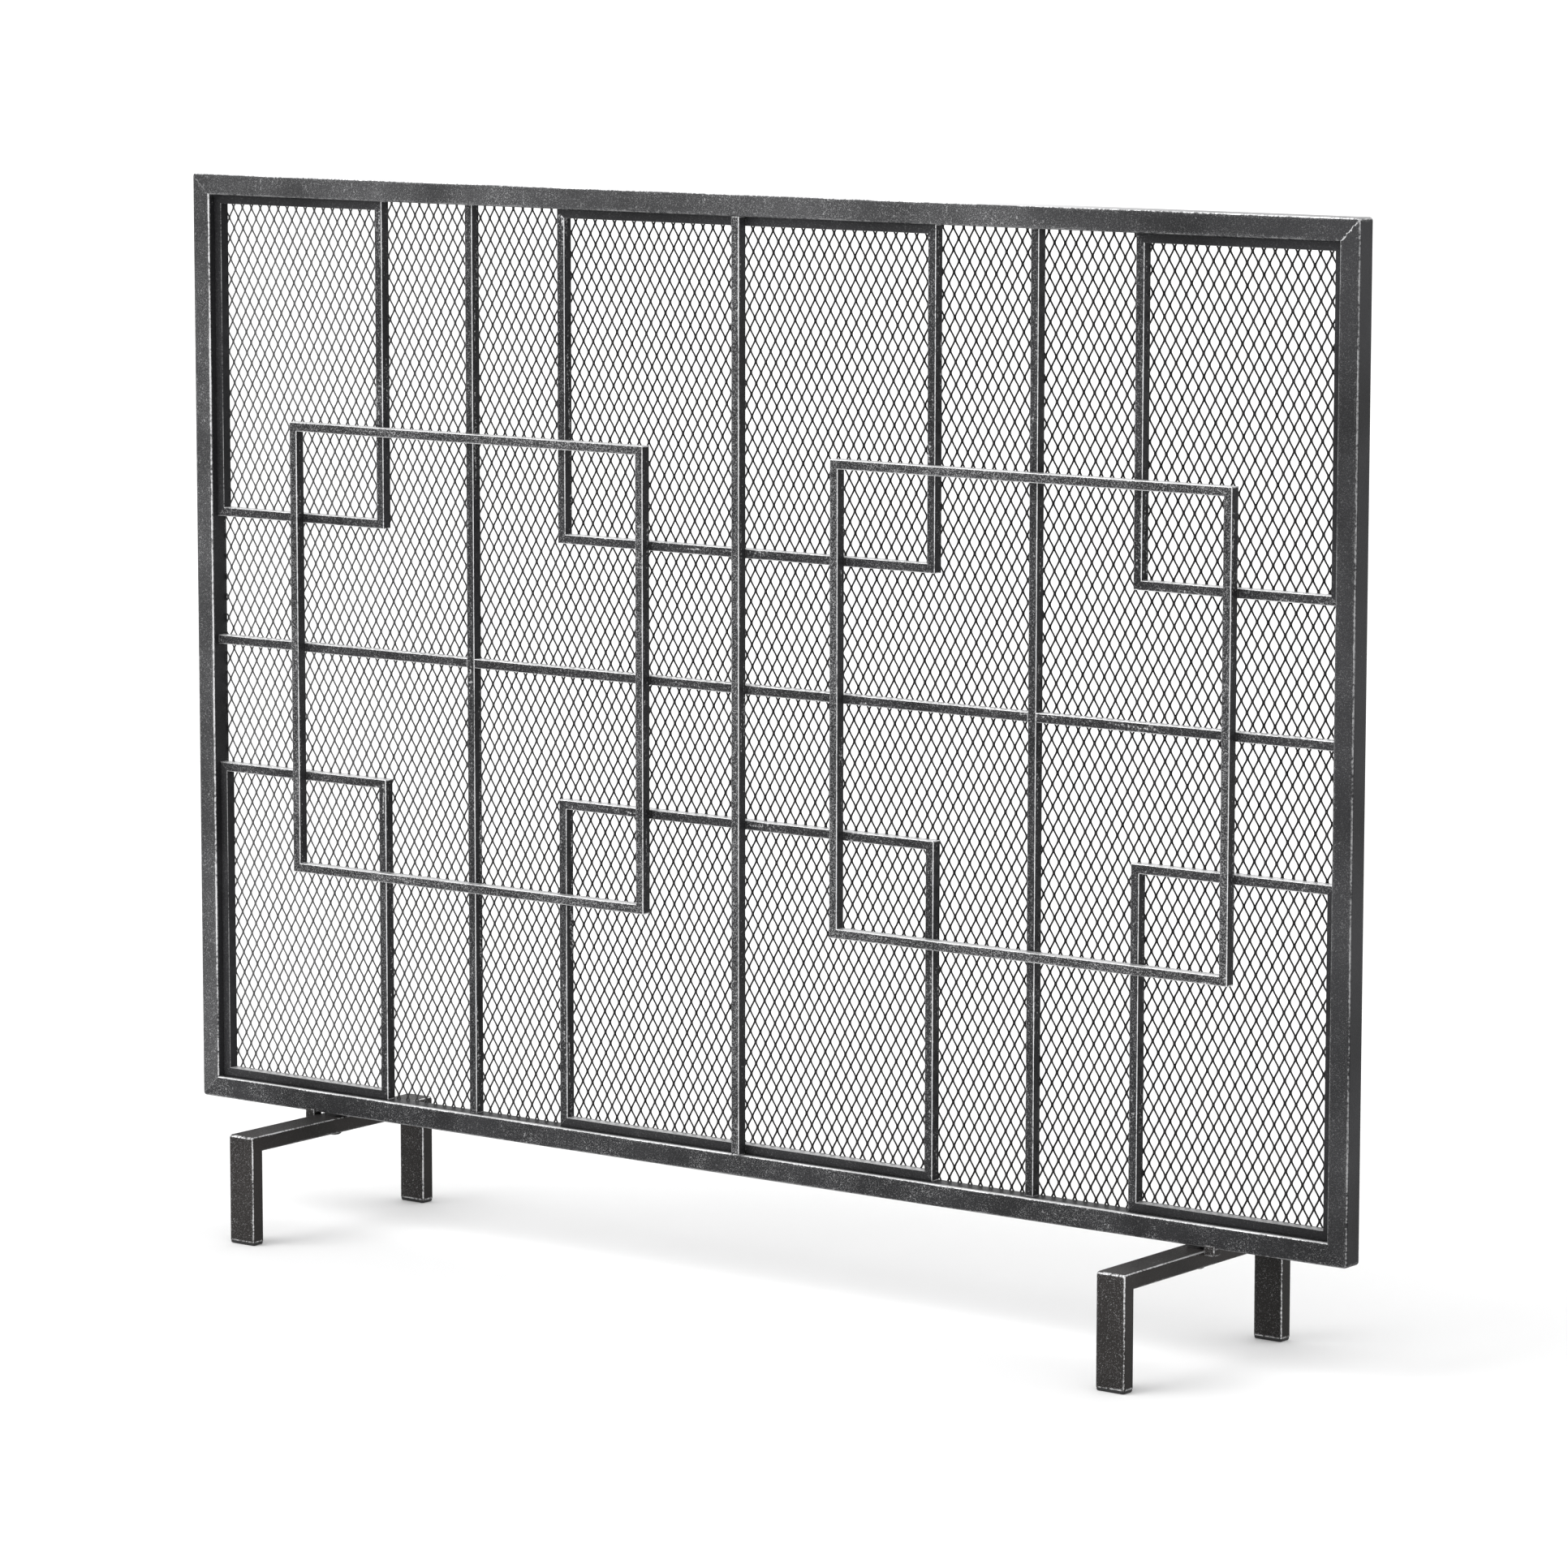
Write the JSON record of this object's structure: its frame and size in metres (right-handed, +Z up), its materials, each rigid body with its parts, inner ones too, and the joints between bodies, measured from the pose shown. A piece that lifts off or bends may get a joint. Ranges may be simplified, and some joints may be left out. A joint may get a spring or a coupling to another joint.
{
  "type": "fireplace screen",
  "caption": "Free-standing single-panel fireplace screen: square tube frame, two-layer bar lattice over expanded mesh, on two inverted-U feet.",
  "frame": {"origin": "on the floor in the middle between the four legs, level with the undersides of the glides", "axes": "+X along the screen's width, +Y towards the fire, -Y the room side, +Z up"},
  "size_m": [0.965, 0.1942, 0.739],
  "materials": {
    "frame_finish": "hammered graphite with rubbed silver edges",
    "lattice_finish": "hammered graphite with rubbed silver edges",
    "foot_finish": "hammered graphite with rubbed silver edges",
    "mesh_finish": "satin dark graphite",
    "glide_plastic": "matte",
    "screw_black": "black oxide, satin",
    "rivet_nut_black": "black plated, satin"
  },
  "bodies": {
    "root": {"centre_lower_bottom_bar": "lattice_finish", "centre_lower_left_bar": "lattice_finish", "centre_lower_right_bar": "lattice_finish", "centre_lower_top_bar": "lattice_finish", "centre_upper_bottom_bar": "lattice_finish", "centre_upper_left_bar": "lattice_finish", "centre_upper_right_bar": "lattice_finish", "centre_upper_top_bar": "lattice_finish", "centre_upright": "lattice_finish", "corner_lower_left_bottom_bar": "lattice_finish", "corner_lower_left_left_bar": "lattice_finish", "corner_lower_left_right_bar": "lattice_finish", "corner_lower_left_top_bar": "lattice_finish", "corner_lower_right_bottom_bar": "lattice_finish", "corner_lower_right_left_bar": "lattice_finish", "corner_lower_right_right_bar": "lattice_finish", "corner_lower_right_top_bar": "lattice_finish", "corner_upper_left_bottom_bar": "lattice_finish", "corner_upper_left_left_bar": "lattice_finish", "corner_upper_left_right_bar": "lattice_finish", "corner_upper_left_top_bar": "lattice_finish", "corner_upper_right_bottom_bar": "lattice_finish", "corner_upper_right_left_bar": "lattice_finish", "corner_upper_right_right_bar": "lattice_finish", "corner_upper_right_top_bar": "lattice_finish", "foot_rivet_nuts": "rivet_nut_black", "foot_screws": "screw_black", "frame_bottom_tube": "frame_finish", "frame_left_tube": "frame_finish", "frame_right_tube": "frame_finish", "frame_top_tube": "frame_finish", "front_left_bottom_bar": "lattice_finish", "front_left_left_bar": "lattice_finish", "front_left_right_bar": "lattice_finish", "front_left_top_bar": "lattice_finish", "front_right_bottom_bar": "lattice_finish", "front_right_left_bar": "lattice_finish", "front_right_right_bar": "lattice_finish", "front_right_top_bar": "lattice_finish", "left_foot_crossbar": "foot_finish", "left_foot_front_leg": "foot_finish", "left_foot_rear_leg": "foot_finish", "left_foot_stop_lug": "foot_finish", "left_front_glide": "glide_plastic", "left_rear_glide": "glide_plastic", "mesh_panel": "mesh_finish", "middle_rail_centre": "lattice_finish", "middle_rail_left": "lattice_finish", "middle_rail_right": "lattice_finish", "right_foot_crossbar": "foot_finish", "right_foot_front_leg": "foot_finish", "right_foot_rear_leg": "foot_finish", "right_foot_stop_lug": "foot_finish", "right_front_glide": "glide_plastic", "right_rear_glide": "glide_plastic", "upright_left": "lattice_finish", "upright_right": "lattice_finish"}
  },
  "joints": []
}
